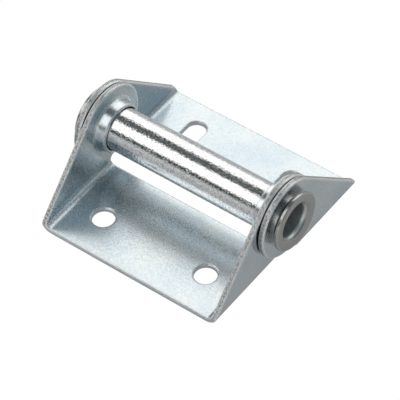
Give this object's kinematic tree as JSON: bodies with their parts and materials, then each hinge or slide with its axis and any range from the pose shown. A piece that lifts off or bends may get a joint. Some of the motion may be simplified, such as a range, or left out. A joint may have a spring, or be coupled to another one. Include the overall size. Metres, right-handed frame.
{
  "type": "garage door hinge",
  "caption": "Garage door hinge: a narrow and a wide folded sheet-steel leaf turn on a flared tube that takes a track roller's shaft.",
  "frame": {"origin": "middle of the tube's axis", "axes": "+X along the tube, +Y towards the wide rear leaf, +Z away from the door, from the plates to the tube"},
  "size_m": [0.0804, 0.072, 0.033],
  "materials": {
    "zinc_sheet": "bright zinc plate",
    "tube_steel": "drawn, plated, slightly dull"
  },
  "bodies": {
    "front_leaf": {"front_leaf": "zinc_sheet"},
    "rear_leaf": {"rear_leaf": "zinc_sheet"},
    "tube": {"tube": "tube_steel"}
  },
  "joints": [
    {"name": "leaf_pivot", "type": "hinge", "parent": "front_leaf", "child": "rear_leaf", "pos_m": [0, 0, 0], "axis": [1, 0, 0], "range_deg": [-18, 228]},
    {"name": "tube_spin", "type": "hinge", "parent": "front_leaf", "child": "tube", "pos_m": [0, 0, 0], "axis": [1, 0, 0], "continuous": true}
  ]
}
